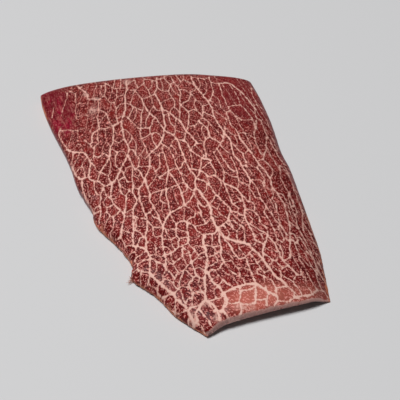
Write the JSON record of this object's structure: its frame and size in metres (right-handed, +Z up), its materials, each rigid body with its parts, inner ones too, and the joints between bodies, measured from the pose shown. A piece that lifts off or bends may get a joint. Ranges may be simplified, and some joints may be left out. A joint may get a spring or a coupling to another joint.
{
  "type": "raw beef steak",
  "caption": "Thin slab of raw marbled beef with a domed top, a rounded right shoulder, a thin ragged left edge and a front edge that arches off the surface.",
  "frame": {"origin": "on the resting face, under the middle of the steak's box", "axes": "+Z up from the resting face to the domed cut face, +Y along the steak from its arched front edge to its long back edge, +X to the rounded shoulder"},
  "size_m": [0.1908, 0.2014, 0.0134],
  "materials": {
    "raw_beef": "moist, fine pale fat veins in dark red lean"
  },
  "bodies": {
    "root": {"beef_steak": "raw_beef"}
  },
  "joints": []
}
